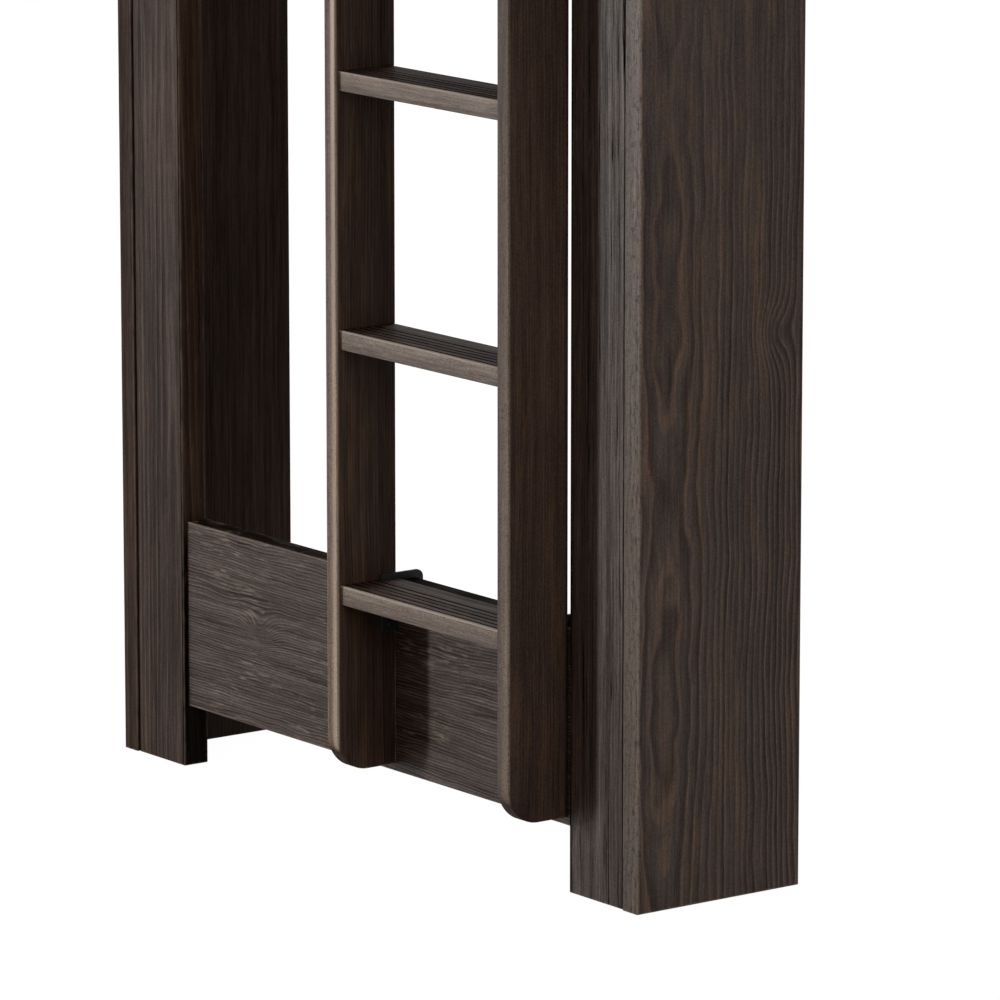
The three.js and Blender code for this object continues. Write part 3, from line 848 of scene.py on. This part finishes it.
class BUNK_OT_legs(bpy.types.Operator):
    """Build the four legs, each a side board and a front board"""

    bl_idname = "bunk.legs"
    bl_label = "Legs"

    def execute(self, context):
        sizes = settings().sizes
        for end in ENDS:
            for side in SIDES:
                leg = f"{end}_{side}_leg"
                best = (end, side) == ("ladder", "right")
                wood = bpy.data.materials["stained_right_leg" if best else "stained_leg_side"]
                worked_piece(f"{leg}_side_board", wood, "bed", sizes.cut_ease)
                face = bpy.data.materials["stained_left_face" if side == "left" else "stained_leg_face"]
                planed_board(f"{leg}_front_board", face, "bed", sizes.joint_chamfer)
        return {"FINISHED"}


class BUNK_OT_end_boards(bpy.types.Operator):
    """Build the low and upper boards at both ends"""

    bl_idname = "bunk.end_boards"
    bl_label = "End boards"

    def execute(self, context):
        for end in ENDS:
            for level in LEVELS:
                best = (end, level) == ("ladder", "low")
                wood = bpy.data.materials["stained_low_board" if best else "stained_rail"]
                planed_board(f"{end}_{level}_end_board", wood, "bed")
        return {"FINISHED"}


class BUNK_OT_bed_sides(bpy.types.Operator):
    """Build the side rails and the cleats under the slats"""

    bl_idname = "bunk.bed_sides"
    bl_label = "Bed sides"

    def execute(self, context):
        rail = bpy.data.materials["stained_rail"]
        cleat = bpy.data.materials["stained_slat"]
        for side in SIDES:
            planed_board(f"{side}_side_rail", rail, "bed")
            worked_piece(f"{side}_slat_cleat", cleat, "bed", settings().sizes.cut_ease)
        return {"FINISHED"}


class BUNK_OT_slats(bpy.types.Operator):
    """Build the slats and the screws that hold them to the cleats"""

    bl_idname = "bunk.slats"
    bl_label = "Slats"

    def execute(self, context):
        sizes = settings().sizes
        up = (0, 0, 1)
        heads = bmesh.new()
        for slat in nodes_named(lambda name: name.startswith("slat_")):
            planed_board(slat, bpy.data.materials["stained_slat"], "bed")
            low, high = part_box(slat)
            for x in (low.x + sizes.screw_inset, high.x - sizes.screw_inset):
                for share in SLAT_SCREW_SHARES:
                    spot = Vector((x, low.y + share * (high.y - low.y), high.z))
                    screw_head(heads, spot, up, sizes.screw_head, sizes.screw_rise)
        finished("slat_screws", heads, bpy.data.materials["bolt_plating"], "bed")
        return {"FINISHED"}


class BUNK_OT_guards(bpy.types.Operator):
    """Build the guard rails, their blocks and the post beside the ladder"""

    bl_idname = "bunk.guards"
    bl_label = "Guard rails"

    def execute(self, context):
        for node in nodes_named(lambda name: "guard" in name):
            planed_board(node, bpy.data.materials["stained_rail"], "bed")
        return {"FINISHED"}


class BUNK_OT_ladder(bpy.types.Operator):
    """Build the stiles and the grooved treads of the ladder"""

    bl_idname = "bunk.ladder"
    bl_label = "Ladder"

    def execute(self, context):
        sizes = settings().sizes
        for side in SIDES:
            stile = bpy.data.materials[f"stained_{side}_stile"]
            worked_piece(f"ladder_{side}_stile", stile, "ladder", sizes.cut_ease)
        tread = bpy.data.materials["stained_tread"]
        for rung in nodes_named(lambda name: name.startswith("rung_")):
            worked_piece(rung, tread, "ladder", sizes.tread_ease)
        return {"FINISHED"}


class BUNK_OT_hooks(bpy.types.Operator):
    """Build the steel hooks that hang the ladder, and their screws"""

    bl_idname = "bunk.hooks"
    bl_label = "Hooks"

    def execute(self, context):
        sizes = settings().sizes
        coat = bpy.data.materials["hook_coat"]
        heads = bmesh.new()
        for level in LEVELS:
            for side in SIDES:
                node = f"{level}_{side}_hook"
                worked_piece(node, coat, "ladder", sizes.plate_ease, "plate")
                low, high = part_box(node)
                out = 1 if side == "left" else -1
                x = high.x if side == "left" else low.x
                for rise in HOOK_SCREW_RISES:
                    spot = Vector((x, low.y + sizes.tongue_middle, low.z + rise))
                    screw_head(heads, spot, (out, 0, 0), sizes.hook_screw_head, sizes.screw_rise)
        finished("hook_screws", heads, coat, "ladder")
        return {"FINISHED"}


class BUNK_OT_fittings(bpy.types.Operator):
    """Finish the bolts in the legs and the glides under them"""

    bl_idname = "bunk.fittings"
    bl_label = "Bolts and glides"

    def execute(self, context):
        for kind, finish in FITTINGS.items():
            for node in nodes_named(lambda name: f"_{kind}" in name):
                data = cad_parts[node].data
                data.materials.clear()
                data.materials.append(bpy.data.materials[finish])
        return {"FINISHED"}


class BUNK_OT_stage(bpy.types.Operator):
    """Lay the floor and set the lights and the camera"""

    bl_idname = "bunk.stage"
    bl_label = "Studio"

    def execute(self, context):
        studio = settings().studio
        mesh = bmesh.new()
        bmesh.ops.create_grid(mesh, x_segments=8, y_segments=8, size=FLOOR_REACH)
        data = bpy.data.meshes.new("studio_floor")
        mesh.to_mesh(data)
        mesh.free()
        data.materials.append(floor_finish(studio.floor))
        floor = bpy.data.objects.new("studio_floor", data)
        context.scene.collection.objects.link(floor)
        surroundings(context.scene, studio.sky)
        for name, (place, aim, size) in LIGHTS.items():
            area_light(name, place, aim, size, getattr(studio, name))
        lens = bpy.data.cameras.new("camera")
        lens.lens = CAMERA_LENS
        lens.sensor_width = CAMERA_SENSOR
        lens.clip_end = CAMERA_REACH
        camera = bpy.data.objects.new("camera", lens)
        context.scene.collection.objects.link(camera)
        camera.location = CAMERA_PLACE
        camera.rotation_euler = CAMERA_TURN
        context.scene.camera = camera
        context.scene.view_settings.view_transform = "Standard"
        return {"FINISHED"}


def floor_finish(colour):
    """A pale floor that looks evenly bright and still takes soft shadows."""
    material = bpy.data.materials.new("studio_floor")
    material.use_nodes = True
    bench = NodeBench(material.node_tree)
    shader = material.node_tree.nodes["Principled BSDF"]
    shader.inputs["Base Color"].default_value = tuple(colour) + (1.0,)
    shader.inputs["Roughness"].default_value = 0.9
    shader.inputs["Specular IOR Level"].default_value = 0.1
    glow = bench.node("ShaderNodeEmission")
    glow.inputs["Strength"].default_value = FLOOR_GLOW
    path = bench.node("ShaderNodeLightPath").outputs
    share = bench.product(path["Is Camera Ray"], FLOOR_GLOW_SEEN)
    share = bench.math("MULTIPLY_ADD", path["Is Glossy Ray"], FLOOR_GLOW_IN_SHINE, share, clamp=True)
    both = bench.node("ShaderNodeMixShader")
    bench.feed(both.inputs[0], share)
    bench.feed(both.inputs[1], shader.outputs[0])
    bench.feed(both.inputs[2], glow.outputs[0])
    out = material.node_tree.nodes["Material Output"]
    bench.feed(out.inputs["Surface"], both.outputs[0])
    return material


def surroundings(scene, strength):
    """A white studio whose light on the bed is softer than it looks."""
    world = bpy.data.worlds.new("studio")
    scene.world = world
    world.use_nodes = True
    bench = NodeBench(world.node_tree)
    sky = world.node_tree.nodes["Background"]
    sky.inputs["Color"].default_value = (1.0, 1.0, 1.0, 1.0)
    path = bench.node("ShaderNodeLightPath").outputs
    light = bench.math("MULTIPLY_ADD", path["Is Glossy Ray"], SKY_IN_SHINE - strength, strength)
    light = bench.math("MULTIPLY_ADD", path["Is Camera Ray"], SKY_SEEN - strength, light)
    bench.feed(sky.inputs["Strength"], light)


def area_light(name, place, aim, size, power):
    data = bpy.data.lights.new(name, "AREA")
    data.shape = "RECTANGLE"
    data.size, data.size_y = size
    data.energy = power
    light = bpy.data.objects.new(name, data)
    bpy.context.scene.collection.objects.link(light)
    light.location = place
    light.rotation_euler = (Vector(aim) - Vector(place)).to_track_quat("-Z", "Y").to_euler()


# ------------------------------------------------------------------ panel


OPERATORS = (
    BUNK_OT_materials,
    BUNK_OT_legs,
    BUNK_OT_end_boards,
    BUNK_OT_bed_sides,
    BUNK_OT_slats,
    BUNK_OT_guards,
    BUNK_OT_ladder,
    BUNK_OT_hooks,
    BUNK_OT_fittings,
    BUNK_OT_stage,
)


class BUNK_PT_panel(bpy.types.Panel):
    """Lists the pieces of the bed and their settings"""

    bl_idname = "BUNK_PT_panel"
    bl_label = "Bunk Bed"
    bl_space_type = "VIEW_3D"
    bl_region_type = "UI"
    bl_category = "Bunk Bed"

    def draw(self, context):
        bed = context.scene.bunk_bed
        for group in (bed.sizes, bed.colours, bed.studio):
            column = self.layout.column()
            for name in group.__annotations__:
                column.prop(group, name)
        for operator in OPERATORS:
            self.layout.operator(operator.bl_idname)


CLASSES = (BedSizes, BedColours, StudioSettings, BunkBed) + OPERATORS + (BUNK_PT_panel,)


def register():
    for kind in CLASSES:
        bpy.utils.register_class(kind)
    bpy.types.Scene.bunk_bed = PointerProperty(type=BunkBed)


def unregister():
    del bpy.types.Scene.bunk_bed
    for kind in reversed(CLASSES):
        bpy.utils.unregister_class(kind)


def main():
    register()
    for operator in OPERATORS:
        group, name = operator.bl_idname.split(".")
        getattr(getattr(bpy.ops, group), name)()


if __name__ == "__main__":
    main()
